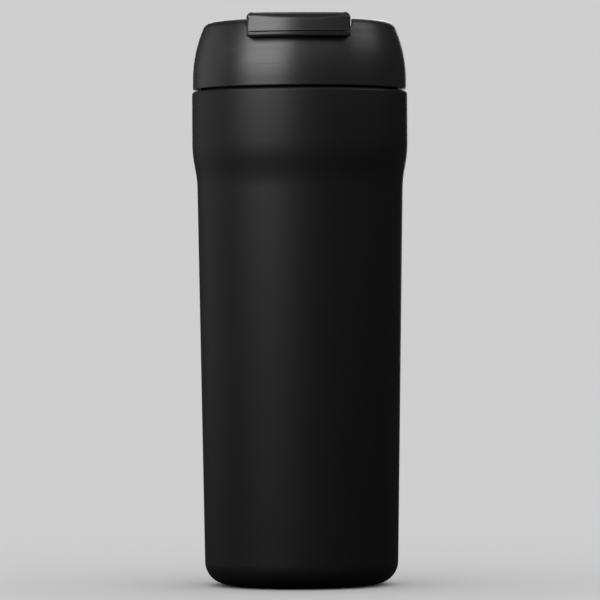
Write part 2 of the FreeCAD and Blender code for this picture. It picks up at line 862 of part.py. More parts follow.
def draw_lever_plan(sketch, radius, half_width, back, back_corner):
    """The lever from above: a front edge round the lid's axis, straight sides and a straight back."""
    normal = FreeCAD.Vector(0, 0, 1)
    corner = s.tab_corner.value
    across = half_width.value
    inset = across - back_corner.value
    end = back.value - back_corner.value
    depth = math.sqrt((radius.value - corner) ** 2 - (across - corner) ** 2)
    swing = math.atan2(depth, across - corner)
    front = Part.Circle(vector(0, 0), normal, radius.value)
    right = Part.Circle(vector(across - corner, -depth), normal, corner)
    left = Part.Circle(vector(corner - across, -depth), normal, corner)
    back_right = Part.Circle(vector(inset, end), normal, back_corner.value)
    back_left = Part.Circle(vector(-inset, end), normal, back_corner.value)
    sketch.addGeometry([
        Part.ArcOfCircle(front, math.pi + swing, 2 * math.pi - swing),
        Part.ArcOfCircle(right, -swing, 0),
        Part.LineSegment(vector(across, -depth), vector(across, end)),
        Part.ArcOfCircle(back_right, 0, math.pi / 2),
        Part.LineSegment(vector(inset, back.value), vector(-inset, back.value)),
        Part.ArcOfCircle(back_left, math.pi / 2, math.pi),
        Part.LineSegment(vector(-across, end), vector(-across, -depth)),
        Part.ArcOfCircle(left, math.pi, math.pi + swing),
    ], False)
    rules = Rules(sketch)
    for edge in range(8):
        rules.add("Tangent", edge, 2, (edge + 1) % 8, 1)
    rules.add("Coincident", 0, 3, *ORIGIN_POINT)
    rules.add("Radius", 0, size=radius)
    for arc, size in ((1, s.tab_corner), (7, s.tab_corner), (3, back_corner), (5, back_corner)):
        rules.add("Radius", arc, size=size)
    rules.add("Vertical", 2)
    rules.add("Vertical", 6)
    rules.add("Horizontal", 4)
    rules.add("DistanceX", *ORIGIN_POINT, 2, 1, size=half_width)
    rules.add("DistanceX", 6, 1, *ORIGIN_POINT, size=half_width)
    rules.add("DistanceY", *ORIGIN_POINT, 4, 1, size=back)
    rules.apply()


def pad_lever_plan(body, name, plan, low, high):
    sketch = new_sketch(body, f"{name}_outline", "XY_Plane", low)
    draw_lever_plan(sketch, *plan)
    return extrude(body, "Pad", name, sketch, high - low)


def round_edges_at(body, name, height, radius):
    """Rounds every edge of the body that lies level at the given height."""
    doc.recompute()
    before = body.Tip
    level = [
        f"Edge{number}"
        for number, edge in enumerate(before.Shape.Edges, start=1)
        if all(abs(vertex.Point.z - height.value) < 1e-4 for vertex in edge.Vertexes)
    ]
    soft = body.newObject("PartDesign::Fillet", name)
    soft.Base = (before, level)
    bind(soft, "Radius", radius)
    return soft


outside_plan = (s.tab_radius, s.tab_half_width, s.lever_back, s.lever_back_corner)
apron_inside = s.tab_radius - s.tab_depth


def make_flip_cover():
    """The lever's visible shell: a thin plate with a round front wall and short skirts down its sides."""
    low = lip_top + s.fit_gap
    inner_half = s.tab_half_width - s.lever_skirt
    past_back = s.lever_back + s.lever_back_corner
    inner_plan = (s.tab_radius - s.lever_plate, inner_half, past_back, s.lever_back_corner)
    body = new_body("flip_cover")
    pad_lever_plan(body, "cover_block", outside_plan, low, s.tab_top)
    round_edges_at(body, "cover_soft_edge", s.tab_top, s.lever_edge)
    cut_disc(body, "cover_over_lid", ZERO, apron_inside, low, s.lever_underside)
    sketch = new_sketch(body, "cover_hollow_outline", "XY_Plane", low)
    draw_lever_plan(sketch, *inner_plan)
    cut_upward(body, "cover_hollow", sketch, ceiling - low)
    return body


def make_flip_carrier():
    """The lever's under-piece: it shows as the lip under the tab, and holds the knuckle and the stoppers."""
    gap = s.fit_gap
    inner_half = s.tab_half_width - s.lever_skirt - gap
    inner_plan = (s.tab_radius - s.lever_plate - gap, inner_half, s.lever_back, s.lever_back_corner * 0.25)
    body = new_body("flip_carrier")
    pad_lever_plan(body, "carrier_lip", outside_plan, s.tab_bottom, lip_top)
    round_edges_at(body, "carrier_soft_edge", s.tab_bottom, s.lip_edge)
    pad_lever_plan(body, "carrier_plate", inner_plan, lip_top, ceiling)
    cut_disc(body, "carrier_over_lid", ZERO, apron_inside, s.tab_bottom, s.lever_underside)

    half = s.knuckle_half_width
    tongue = new_sketch(body, "tongue_outline", "YZ_Plane", -half)
    draw_outline(tongue, [
        (s.lever_back - s.tongue_overlap, s.lever_underside),
        (s.hinge_back, s.lever_underside),
        (s.hinge_back, ceiling),
        (s.lever_back - s.tongue_overlap, ceiling),
    ])
    extrude(body, "Pad", "tongue", tongue, half * 2)
    knuckle = new_sketch(body, "knuckle_outline", "YZ_Plane", -half)
    draw_circle(knuckle, s.hinge_back, s.hinge_height, s.knuckle_radius)
    extrude(body, "Pad", "knuckle", knuckle, half * 2)
    bore = new_sketch(body, "knuckle_bore_outline", "YZ_Plane", -half)
    draw_circle(bore, s.hinge_back, s.hinge_height, s.pin_radius + s.pin_clearance)
    cut_upward(body, "knuckle_bore", bore, half * 2)

    foot = s.lever_underside
    length = s.port_length + s.stopper_rim + gap * 2
    width = s.port_width + s.stopper_rim + gap * 2
    cut_slot(body, "stopper_pocket", port_y, length, width, foot, stopper_head_top)
    cut_disc(body, "vent_pocket", vent_y, s.vent_stopper_radius + gap, foot, stopper_head_top)
    return body


def make_stoppers():
    """The silicone stopper for the drink port with its stiff insert, and the small one for the vent."""
    foot = stopper_foot
    head = stopper_head_top
    stopper = new_body("drink_stopper")
    length = s.port_length + s.stopper_rim
    width = s.port_width + s.stopper_rim
    pad_slot(stopper, "stopper_head", port_y, length, width, foot, head)
    sketch = new_sketch(stopper, "stopper_plug_outline", "XY_Plane", foot)
    room = s.stopper_clearance * 2
    draw_slot(sketch, port_y, s.port_length - room, s.port_width - room)
    plug = extrude(stopper, "Pad", "stopper_plug", sketch, s.stopper_drop, downward=True)
    bind(plug, "TaperAngle", -s.stopper_taper)
    doc.recompute()
    insert_low = foot - s.stopper_drop + s.insert_rise
    cut_slot(stopper, "insert_hollow", port_y, s.insert_length, s.insert_width, insert_low, head)

    insert = new_body("stopper_insert")
    pad_slot(insert, "insert_pad", port_y, s.insert_length, s.insert_width, insert_low, head)

    vent = new_body("vent_stopper")
    pad_disc(vent, "vent_stopper_head", vent_y, s.vent_stopper_radius, foot, head)
    nose = s.vent_radius - s.stopper_clearance * 1.5
    pad_disc(vent, "vent_stopper_nose", vent_y, nose, foot - s.vent_nose_length, foot)
    return stopper, insert, vent


# ---------------------------------------------------------------- build, check and write


def build():
    parts = [
        make_outer_shell(),
        make_inner_vessel(),
        make_vacuum_end_plate(),
        make_evacuation_bead(),
        make_base_cover(),
        make_base_pad(),
        make_reflective_foil(),
        *make_getter(),
        make_lid_cover(),
        make_lid_core(),
        *make_seals(),
        *make_plug_filling(),
        make_mouth_gasket(),
        make_hinge_pin(),
        make_flip_cover(),
        make_flip_carrier(),
        *make_stoppers(),
    ]
    doc.recompute()
    return parts


def check(parts):
    for thing in doc.Objects:
        if any(word in state for state in thing.State for word in ("Invalid", "Error")):
            raise RuntimeError(f"{thing.Label} did not rebuild: {thing.State}")
    for part in parts:
        if part.Shape.isNull() or not part.Shape.isValid():
            raise RuntimeError(f"{part.Label} is not a valid shape")


def write(parts):
    os.makedirs("parts", exist_ok=True)
    for old in os.listdir("parts"):
        os.remove(os.path.join("parts", old))
    for part in parts:
        part.Shape.exportStep(f"parts/{part.Label}.step")
        box = part.Shape.BoundBox
        print(f"{part.Label:18s} {part.Shape.Volume:10.1f} mm3  solids {len(part.Shape.Solids)}"
              f"  z {box.ZMin:.2f} to {box.ZMax:.2f}")


made = build()
check(made)
write(made)
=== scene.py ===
"""An insulated travel mug in matte black: powder-coated steel body, satin moulded lid, flip lever."""

import json
import math

import bmesh
import bpy
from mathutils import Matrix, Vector


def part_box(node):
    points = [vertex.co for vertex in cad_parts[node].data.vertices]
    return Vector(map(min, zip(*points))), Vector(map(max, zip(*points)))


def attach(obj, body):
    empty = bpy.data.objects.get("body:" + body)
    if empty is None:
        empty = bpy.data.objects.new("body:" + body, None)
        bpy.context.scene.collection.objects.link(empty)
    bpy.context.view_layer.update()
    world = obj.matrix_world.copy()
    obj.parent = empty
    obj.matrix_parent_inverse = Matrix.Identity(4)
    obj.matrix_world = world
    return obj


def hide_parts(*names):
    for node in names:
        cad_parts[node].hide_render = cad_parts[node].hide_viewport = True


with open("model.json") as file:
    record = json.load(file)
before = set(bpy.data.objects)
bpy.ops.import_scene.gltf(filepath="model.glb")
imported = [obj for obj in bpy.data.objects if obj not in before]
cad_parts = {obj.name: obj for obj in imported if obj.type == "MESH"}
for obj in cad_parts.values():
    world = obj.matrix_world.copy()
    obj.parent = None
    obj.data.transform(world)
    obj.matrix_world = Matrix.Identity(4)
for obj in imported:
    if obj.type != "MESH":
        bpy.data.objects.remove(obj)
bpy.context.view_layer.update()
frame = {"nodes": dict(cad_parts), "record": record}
nodes = frame["nodes"]
scene = bpy.context.scene

MM = 0.001
TURN = 2 * math.pi
SEGMENTS = 288

BODY_OF = {node: body for body, names in frame["record"]["behaviour"]["bodies"].items() for node in names}
SLOT_OF = {part["node"]: part["material_slot"] for part in frame["record"]["subparts"]}


# ---------------------------------------------------------------- camera

# In metres, millimetres of lens and sensor, and radians.
CAMERA_DISTANCE = 1.598
CAMERA_HEIGHT = 0.1005
CAMERA_SHIFT = -0.0002
CAMERA_ORBIT = math.radians(0.55)
CAMERA_ROLL = math.radians(0.25)
CAMERA_LENS = 271.4
CAMERA_SENSOR = 36.0


def make_camera():
    """Level with the mug's middle, a touch to the right of square to the lever's tab, with a long lens."""
    data = bpy.data.cameras.new("camera")
    data.sensor_width = CAMERA_SENSOR
    data.lens = CAMERA_LENS
    data.clip_start = 0.05
    data.clip_end = 60.0
    camera = bpy.data.objects.new("camera", data)
    scene.collection.objects.link(camera)
    right = CAMERA_DISTANCE * math.sin(CAMERA_ORBIT) + CAMERA_SHIFT
    front = -CAMERA_DISTANCE * math.cos(CAMERA_ORBIT)
    camera.location = (right, front, CAMERA_HEIGHT)
    camera.rotation_mode = "XYZ"
    camera.rotation_euler = (math.radians(90), CAMERA_ROLL, CAMERA_ORBIT)
    scene.camera = camera


# ---------------------------------------------------------------- materials

class Nodes:
    """A small wrapper for building a material's node tree."""

    def __init__(self, name):
        self.material = bpy.data.materials.new(name)
        self.material.use_nodes = True
        self.tree = self.material.node_tree
        self.shader = self.tree.nodes["Principled BSDF"]
        self.place = self.new("ShaderNodeTexCoord").outputs["Object"]

    def new(self, kind, **settings):
        node = self.tree.nodes.new(kind)
        for key, value in settings.items():
            setattr(node, key, value)
        return node

    def link(self, out, into):
        self.tree.links.new(out, into)

    def stretched(self, scale):
        mapping = self.new("ShaderNodeMapping")
        mapping.inputs["Scale"].default_value = scale
        self.link(self.place, mapping.inputs["Vector"])
        return mapping.outputs["Vector"]

    def noise(self, scale, detail=2.0, rough=0.5, vector=None):
        node = self.new("ShaderNodeTexNoise")
        node.inputs["Scale"].default_value = scale
        node.inputs["Detail"].default_value = detail
        node.inputs["Roughness"].default_value = rough
        self.link(vector or self.place, node.inputs["Vector"])
        return node.outputs["Fac"]

    def between(self, factor, low, high, start=0.0, end=1.0):
        node = self.new("ShaderNodeMapRange")
        node.inputs["From Min"].default_value = start
        node.inputs["From Max"].default_value = end
        node.inputs["To Min"].default_value = low
        node.inputs["To Max"].default_value = high
        self.link(factor, node.inputs["Value"])
        return node.outputs["Result"]

    def colours(self, factor, first, second):
        node = self.new("ShaderNodeMix", data_type="RGBA")
        node.inputs["A"].default_value = (*first, 1)
        node.inputs["B"].default_value = (*second, 1)
        self.link(factor, node.inputs["Factor"])
        return node.outputs["Result"]

    def bump(self, height, distance, strength=1.0, under=None):
        node = self.new("ShaderNodeBump")
        node.inputs["Distance"].default_value = distance
        node.inputs["Strength"].default_value = strength
        self.link(height, node.inputs["Height"])
        if under is not None:
            self.link(under, node.inputs["Normal"])
        return node.outputs["Normal"]

    def set(self, **values):
        """Sets or links the shader's sockets, by their names with underscores for spaces."""
        for key, value in values.items():
            socket = self.shader.inputs[key.replace("_", " ")]
            if isinstance(value, bpy.types.NodeSocket):
                self.link(value, socket)
            else:
                socket.default_value = value
        return self.material


def powder_coat():
    """Fine powder coat: a soft orange-peel under a close grain, very slightly mottled."""
    n = Nodes("powder_coat")
    grain = n.noise(5200, detail=3, rough=0.6)
    orange = n.noise(900, detail=1)
    cloud = n.noise(45, detail=4)
    bumped = n.bump(grain, 0.00002, 0.4, n.bump(orange, 0.00003, 0.3))
    return n.set(
        Base_Color=n.colours(cloud, (0.0036, 0.0036, 0.0037), (0.0052, 0.0052, 0.0053)),
        Roughness=n.between(grain, 0.44, 0.54, 0.3, 0.7),
        Specular_IOR_Level=0.33,
        Normal=bumped,
    )


def moulded(name, low, high, rough, lines=0.45, gloss=0.5):
    """Satin moulded plastic with the faint turned lines of a polished mould."""
    n = Nodes(name)
    turned = n.noise(1.0, detail=3, rough=0.55, vector=n.stretched((14, 14, 1500)))
    cloud = n.noise(60, detail=3)
    grain = n.noise(7000, detail=2)
    bumped = n.bump(grain, 0.00001, 0.25, n.bump(turned, 0.00002, lines))
    return n.set(
        Base_Color=n.colours(cloud, low, high),
        Roughness=n.between(turned, rough - 0.035, rough + 0.035, 0.3, 0.7),
        Specular_IOR_Level=gloss,
        Normal=bumped,
    )


def steel(name, tint, rough, scale=(12, 12, 5200)):
    """Bare steel, turned or brushed round its axis."""
    n = Nodes(name)
    brushed = n.noise(1.0, detail=4, rough=0.75, vector=n.stretched(scale))
    cloud = n.noise(30, detail=3)
    dark = tuple(0.88 * c for c in tint)
    return n.set(
        Base_Color=n.colours(cloud, dark, tint),
        Metallic=1.0,
        Roughness=n.between(brushed, rough - 0.08, rough + 0.1, 0.3, 0.7),
        Normal=n.bump(brushed, 0.00002, 0.35),
    )


def silicone(name, low, high, rough):
    """Matt silicone rubber with a fine, even skin."""
    n = Nodes(name)
    cloud = n.noise(120, detail=3)
    skin = n.noise(4200, detail=2)
    return n.set(
        Base_Color=n.colours(cloud, low, high),
        Roughness=n.between(skin, rough - 0.05, rough + 0.05, 0.3, 0.7),
        Normal=n.bump(skin, 0.00002, 0.3),
    )


def grainy(name, low, high, rough, scale, depth):
    """Foam, sintered powder and the like: a rough, speckled solid."""
    n = Nodes(name)
    cells = n.new("ShaderNodeTexVoronoi")
    cells.inputs["Scale"].default_value = scale
    n.link(n.place, cells.inputs["Vector"])
    speck = cells.outputs["Distance"]
    return n.set(
        Base_Color=n.colours(speck, low, high),
        Roughness=n.between(speck, rough, rough - 0.1),
        Normal=n.bump(speck, depth, 0.6),
    )


def foil():
    """Crumpled copper foil."""
    n = Nodes("copper_foil")
    crumple = n.noise(260, detail=5, rough=0.6)
    return n.set(
        Base_Color=n.colours(crumple, (0.70, 0.34, 0.20), (0.82, 0.45, 0.30)),
        Metallic=1.0,
        Roughness=n.between(crumple, 0.16, 0.3),
        Normal=n.bump(crumple, 0.0003, 0.5),
    )


def solder():
    """A glassy drop of solder glass."""
    n = Nodes("solder_glass")
    swirl = n.noise(700, detail=3)
    return n.set(
        Base_Color=n.colours(swirl, (0.16, 0.15, 0.12), (0.30, 0.28, 0.23)),
        Roughness=n.between(swirl, 0.12, 0.22),
        Normal=n.bump(swirl, 0.00005, 0.3),
    )


# The darkest and lightest shade of the moulded lid and lever.
SATIN_BLACK = ((0.0080, 0.0080, 0.0083), (0.0105, 0.0105, 0.0108))

MATERIALS = {
    "powder_coat": powder_coat(),
    "liner_steel": steel("liner_steel", (0.66, 0.65, 0.63), 0.3),
    "plate_steel": steel("plate_steel", (0.58, 0.57, 0.55), 0.34),
    "solder_glass": solder(),
    "copper_foil": foil(),
    "getter_grey": grainy("getter_grey", (0.14, 0.14, 0.14), (0.3, 0.3, 0.3), 0.85, 3000, 0.0001),
    "foot_silicone": silicone("foot_silicone", (0.014, 0.014, 0.015), (0.022, 0.022, 0.023), 0.62),
    "seal_silicone": silicone("seal_silicone", (0.010, 0.010, 0.011), (0.015, 0.015, 0.016), 0.5),
    "stopper_silicone": silicone("stopper_silicone", (0.022, 0.022, 0.023), (0.030, 0.030, 0.031), 0.5),
    "lid_black": moulded("lid_black", *SATIN_BLACK, 0.36, gloss=0.62),
    "lever_black": moulded("lever_black", *SATIN_BLACK, 0.33, gloss=0.68),
    "core_black": moulded("core_black", (0.014, 0.014, 0.015), (0.020, 0.020, 0.021), 0.42, lines=0.15),
    "foam_white": grainy("foam_white", (0.70, 0.69, 0.65), (0.86, 0.85, 0.81), 0.9, 900, 0.0003),
    "insert_white": moulded("insert_white", (0.58, 0.58, 0.56), (0.66, 0.66, 0.64), 0.45, lines=0.1),
}


# ---------------------------------------------------------------- mesh helpers

AXIS_REACH = 1e-6
ARC_STEP = 0.4
ARC_STEPS_AT_LEAST = 5

def place_piece(name, bm, node, sharp=35):
    """Makes a piece from a mesh, in the finish and on the body of the CAD node that it stands for."""
    bmesh.ops.recalc_face_normals(bm, faces=bm.faces)
    mesh = bpy.data.meshes.new(name)
    bm.to_mesh(mesh)
    bm.free()
    mesh.shade_smooth()
    mesh.set_sharp_from_angle(angle=math.radians(sharp))
    mesh.materials.append(MATERIALS[SLOT_OF[node]])
    piece = bpy.data.objects.new(name, mesh)
    scene.collection.objects.link(piece)
    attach(piece, BODY_OF[node])
    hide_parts(node)
    return piece


def rounded(corners):
    """The points of a closed outline, from (radius, height) corners or (radius, height, rounding) ones."""
    points = [Vector(corner[:2]) for corner in corners]
    outline = []
    for i, corner in enumerate(corners):
        here = points[i]
        if len(corner) == 2:
            outline.append(here)
            continue
        rounding = corner[2]
        back = (points[i - 1] - here).normalized()
        on = (points[(i + 1) % len(points)] - here).normalized()
        half = back.angle(on) / 2
        middle = here + (back + on).normalized() * (rounding / math.sin(half))
        arm = here + back * (rounding / math.tan(half)) - middle
        sweep = math.pi - 2 * half
        left = on.cross(back) > 0
        count = max(ARC_STEPS_AT_LEAST, math.ceil(sweep * rounding / ARC_STEP))
        for k in range(count + 1):
            swing = sweep * k / count * (1 if left else -1)
            turned = Vector((
                arm.x * math.cos(swing) - arm.y * math.sin(swing),
                arm.x * math.sin(swing) + arm.y * math.cos(swing),
            ))
            outline.append(middle + turned)
    return outline


def lathe(outline, shape=None):
    """Turns a closed outline in millimetres about Z.

    shape(angle, radius, height) may change a point's radius.
    """
    bm = bmesh.new()
    angles = [TURN * k / SEGMENTS for k in range(SEGMENTS)]
    rings = []
    for radius, height in outline:
        if radius < AXIS_REACH:
            rings.append([bm.verts.new((0, 0, height * MM))])
            continue
        ring = []
        for angle in angles:
            reach = (shape(angle, radius, height) if shape else radius) * MM
            ring.append(bm.verts.new((reach * math.cos(angle), reach * math.sin(angle), height * MM)))
        rings.append(ring)
    for ring, following in zip(rings, rings[1:] + rings[:1]):
        if len(ring) == 1 and len(following) == 1:
            continue
        for k in range(SEGMENTS):
            corners = [ring[k % len(ring)], ring[(k + 1) % SEGMENTS % len(ring)]]
            corners += [following[(k + 1) % SEGMENTS % len(following)], following[k % len(following)]]
            bm.faces.new(list(dict.fromkeys(corners)))
    return bm


def filled(low, high, step):
    """Heights from low to high, at most step apart, without the two ends."""
    count = math.ceil((high - low) / step)
    return [low + (high - low) * k / count for k in range(1, count)]


def smooth(share):
    """An even ramp from 0 to 1 that starts and ends level."""
    share = min(1.0, max(0.0, share))
    return share * share * (3 - 2 * share)


# ---------------------------------------------------------------- vessel

# Sizes that the boxes of the CAD nodes don't give, in millimetres. Shares are of a turn or of a radius.
BASE_RADIUS = 34.0
BASE_CORNER = 8.0
BASE_OPENING = 23.6
SHELL_WALL = 0.6
OGEE_FOOT = 143.0
OGEE_HEAD = 152.2
OGEE_RADIUS = 40.0
WAIST_RADIUS = 36.3
RIM_CORNER = 1.1
LINER_WALL = 0.5
LINER_CORNER = 12.0
NECK_RADIUS = 33.4
VACUUM_GAP = 2.6
THREAD_LEAD = 8.0
THREAD_CLIMB = 4.4
THREAD_DEPTH = 1.3
THREAD_HALF_ROOT = 1.0
THREAD_HALF_TIP = 0.45
THREAD_STARTS = (0.0, 0.5)
THREAD_RUN_OUT = 0.035
BEAD_START = 167.6
BEAD_STEP = 0.15
BASE_OPENING_EDGE = 0.25
LINER_MOUTH_EDGE = 0.3
PAD_GROOVE = 0.5
PAD_GROOVE_SHARES = (0.3, 0.5, 0.7, 0.86)
PAD_GROOVE_WIDTH_SHARE = 0.06
PAD_SOFT = 0.18
PAD_EDGE = 0.3
GASKET_BORE = 32.0
GASKET_BEAD = 0.6
GASKET_BEAD_FOOT = 0.9
GASKET_RELIEF = 0.25
GASKET_WAIST = 0.45
GASKET_SOFT = 0.2
GASKET_EDGE = 0.3
NEAR = 1e-3


def extent(node):
    """A turned node's outer radius, foot and head, in millimetres."""
    low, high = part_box(node)
    return high.y / MM, low.z / MM, high.z / MM


def make_shell():
    """The coated outer wall, with the foot, the ogee under the collar and the turned-in rim."""
    collar, foot, rim = extent("outer_shell")
    wall = SHELL_WALL
    weld = NECK_RADIUS + LINER_WALL
    outline = rounded([
        (BASE_OPENING, foot, BASE_OPENING_EDGE),
        (BASE_RADIUS, foot, BASE_CORNER),
        (WAIST_RADIUS, OGEE_FOOT, OGEE_RADIUS),
        (collar, OGEE_HEAD, OGEE_RADIUS),
        (collar, rim, RIM_CORNER),
        (weld, rim),
        (weld, rim - wall),
        (collar - wall, rim - wall, RIM_CORNER - wall),
        (collar - wall, OGEE_HEAD, OGEE_RADIUS - wall),
        (WAIST_RADIUS - wall, OGEE_FOOT, OGEE_RADIUS + wall),
        (BASE_RADIUS - wall, foot + wall, BASE_CORNER - wall),
        (BASE_OPENING, foot + wall, BASE_OPENING_EDGE),
    ])
    place_piece("body_shell", lathe(outline), "outer_shell")


def bead_height(angle, height):
    """How far the two-start bead stands out of the neck there, from 0 to 1, with run-out at its ends."""
    turns = THREAD_CLIMB / THREAD_LEAD
    tallest = 0.0
    for start in THREAD_STARTS:
        along = (angle / TURN - start) % 1.0
        if along > turns:
            continue
        off = abs(height - BEAD_START - THREAD_LEAD * along)
        across = smooth((THREAD_HALF_ROOT - off) / (THREAD_HALF_ROOT - THREAD_HALF_TIP))
        ends = smooth(along / THREAD_RUN_OUT) * smooth((turns - along) / THREAD_RUN_OUT)
        tallest = max(tallest, across * ends)
    return tallest


def make_liner():
    """The bare steel liner, with the thread rolled into its neck."""
    _, foot, rim = extent("inner_vessel")
    wall = LINER_WALL
    base = BASE_RADIUS - SHELL_WALL - VACUUM_GAP
    waist = WAIST_RADIUS - SHELL_WALL - VACUUM_GAP
    weld = NECK_RADIUS + wall
    inside = rounded([
        (0, foot),
        (base, foot, LINER_CORNER + wall),
        (waist, OGEE_FOOT, OGEE_RADIUS + wall),
        (weld, OGEE_HEAD, OGEE_RADIUS),
        (weld, rim),
        (NECK_RADIUS, rim, LINER_MOUTH_EDGE),
        (NECK_RADIUS, OGEE_HEAD, OGEE_RADIUS + wall),
        (waist - wall, OGEE_FOOT, OGEE_RADIUS),
        (base - wall, foot + wall, LINER_CORNER),
        (0, foot + wall),
    ])
    low = BEAD_START - THREAD_HALF_ROOT
    high = BEAD_START + THREAD_CLIMB + THREAD_HALF_ROOT
    under_mouth = rim - 0.2
    mouth = next(i for i, p in enumerate(inside) if abs(p.x - NECK_RADIUS) < NEAR and p.y < under_mouth)
    neck = [Vector((NECK_RADIUS, z)) for z in [high, *reversed(filled(low, high, BEAD_STEP)), low]]
    outline = inside[:mouth + 1] + neck + inside[mouth + 1:]

    def shape(angle, radius, height):
        if abs(radius - NECK_RADIUS) > NEAR or not low - NEAR < height < high + NEAR:
            return radius
        return radius - THREAD_DEPTH * bead_height(angle, height)

    place_piece("liner", lathe(outline, shape), "inner_vessel")


def make_foot_pad():
    """The silicone foot, with soft-edged ring grooves in its underside."""
    radius, foot, head = extent("base_pad")
    corners = [(0, head), (0, foot)]
    for share in PAD_GROOVE_SHARES:
        start = radius * share
        end = radius * (share + PAD_GROOVE_WIDTH_SHARE)
        corners += [
            (start, foot, PAD_SOFT),
            (start, foot + PAD_GROOVE, PAD_SOFT),
            (end, foot + PAD_GROOVE, PAD_SOFT),
            (end, foot, PAD_SOFT),
        ]
    corners += [(radius, foot, PAD_EDGE), (radius, head, PAD_SOFT)]
    place_piece("foot_pad", lathe(rounded(corners)), "base_pad")


def make_gasket():
    """The ring that seals the mouth, with a bead along each face and a relief round its edge."""
    radius, foot, head = extent("mouth_gasket")
    bore = GASKET_BORE
    middle = (foot + head) / 2
    outline = rounded([
        (bore, foot, GASKET_SOFT),
        (bore + GASKET_BEAD, foot, GASKET_SOFT),
        (bore + GASKET_BEAD_FOOT, foot + GASKET_RELIEF, GASKET_SOFT),
        (radius - GASKET_BEAD_FOOT, foot + GASKET_RELIEF, GASKET_SOFT),
        (radius - GASKET_BEAD, foot, GASKET_SOFT),
        (radius, foot, GASKET_EDGE),
        (radius - GASKET_WAIST, middle, GASKET_EDGE),
        (radius, head, GASKET_EDGE),
        (radius - GASKET_BEAD, head, GASKET_SOFT),
        (radius - GASKET_BEAD_FOOT, head - GASKET_RELIEF, GASKET_SOFT),
        (bore + GASKET_BEAD_FOOT, head - GASKET_RELIEF, GASKET_SOFT),
        (bore + GASKET_BEAD, head, GASKET_SOFT),
        (bore, head, GASKET_SOFT),
    ])
    place_piece("mouth_seal", lathe(outline), "mouth_gasket")


# ---------------------------------------------------------------- softened CAD pieces

# CAD node: the name of the piece that stands for it, and how far its sharp edges are rounded, in millimetres.
SOFTENED = {
    "flip_carrier": ("lever_base", 0.2),
    "lid_core": ("plug_moulding", 0.22),
    "plug_cap": ("plug_floor", 0.15),
    "lid_foam": ("plug_filling", 0.3),
    "port_seal": ("port_ring", 0.15),
    "vent_seal": ("vent_ring", 0.15),
    "drink_stopper": ("port_stopper", 0.3),
    "stopper_insert": ("stopper_stiffener", 0.2),
    "vent_stopper": ("vent_plug", 0.2),
    "hinge_pin": ("hinge_rod", 0.15),
    "base_cover": ("base_dish", 0.1),
    "vacuum_end_plate": ("end_plate", 0.12),
    "evacuation_bead": ("solder_drop", 0.1),
    "reflective_foil": ("foil_wrap", 0.03),
    "getter_clip": ("pellet_clip", 0.06),
    "getter_pellet": ("pellet", 0.15),
}


SAME_POINT = 0.002 * MM
FLAT_ANGLE = math.radians(0.6)
SHARP_ANGLE = math.radians(32)
SHADED_SHARP = 50


def soften(bm, rounding):
    """Rounds every sharp edge of a closed mesh by that many millimetres."""
    sharp = [edge for edge in bm.edges if edge.calc_face_angle() > SHARP_ANGLE]
    bmesh.ops.bevel(
        bm,
        geom=sharp,
        offset=rounding * MM,
        offset_type="OFFSET",
        segments=3,
        profile=0.5,
        affect="EDGES",
        clamp_overlap=True,
        loop_slide=True,
    )


def even_normals(piece):
    """Keeps the flats flat to the eye, and puts the shading's turn into the rounded edges."""
    weighted = piece.modifiers.new("even_normals", "WEIGHTED_NORMAL")
    weighted.keep_sharp = True


def make_softened(node, name, rounding):
    """Copies a CAD node's form with its flat faces made whole and its sharp edges rounded."""
    bm = bmesh.new()
    bm.from_mesh(nodes[node].data)
    bmesh.ops.remove_doubles(bm, verts=bm.verts, dist=SAME_POINT)
    bmesh.ops.dissolve_limit(bm, angle_limit=FLAT_ANGLE, verts=bm.verts, edges=bm.edges)
    soften(bm, rounding)
    even_normals(place_piece(name, bm, node, SHADED_SHARP))


# ---------------------------------------------------------------- lid

def dress_lid():
    """The lid cover keeps its CAD mesh and takes the finish made here."""
    mesh = nodes["lid_cover"].data
    mesh.materials.clear()
    mesh.materials.append(MATERIALS[SLOT_OF["lid_cover"]])


# ---------------------------------------------------------------- lever

# In millimetres and radians. TAB_SPREAD is how fast the front edge's roll grows towards the front.
TAB_CORNER = 1.6
LEVER_BACK_CORNER = 4.0
LEVER_PLATE = 1.6
LEVER_SKIRT = 1.4
LEVER_UNDERSIDE = 196.0
APRON_INSIDE = 36.2
SIDE_ROUNDING = 1.3
TAB_END_ROUNDING = 1.9
TAB_MIDDLE_ROUNDING = 3.0
TAB_LEAN = math.radians(8)
TAB_SHADOW_GAP = 0.22
TAB_SPREAD = 1.3
LEVER_EDGE = 0.22
FRONT_STEPS = 96
TAB_CORNER_STEPS = 12
BACK_CORNER_STEPS = 14
ROLL_STEPS = 12


def lever_plan(radius, half, back, back_corner):
    """The lever from above, as pairs of a point and the direction that it faces."""
    corner = TAB_CORNER
    depth = math.sqrt((radius - corner) ** 2 - (half - corner) ** 2)
    swing = math.atan2(depth, half - corner)
    inset = half - back_corner
    arcs = [
        (0, 0, radius, math.pi + swing, TURN - swing, FRONT_STEPS),
        (half - corner, -depth, corner, -swing, 0, TAB_CORNER_STEPS),
        (inset, back - back_corner, back_corner, 0, math.pi / 2, BACK_CORNER_STEPS),
        (-inset, back - back_corner, back_corner, math.pi / 2, math.pi, BACK_CORNER_STEPS),
        (corner - half, -depth, corner, math.pi, math.pi + swing, TAB_CORNER_STEPS),
    ]
    plan = []
    for x, y, reach, start, end, steps in arcs:
        first = 1 if (x, y) == (half - corner, -depth) else 0
        last = steps if (x, y) == (corner - half, -depth) else steps + 1
        for k in range(first, last):
            angle = start + (end - start) * k / steps
            facing = Vector((math.cos(angle), math.sin(angle)))
            plan.append((Vector((x, y)) + facing * reach, facing))
    return plan


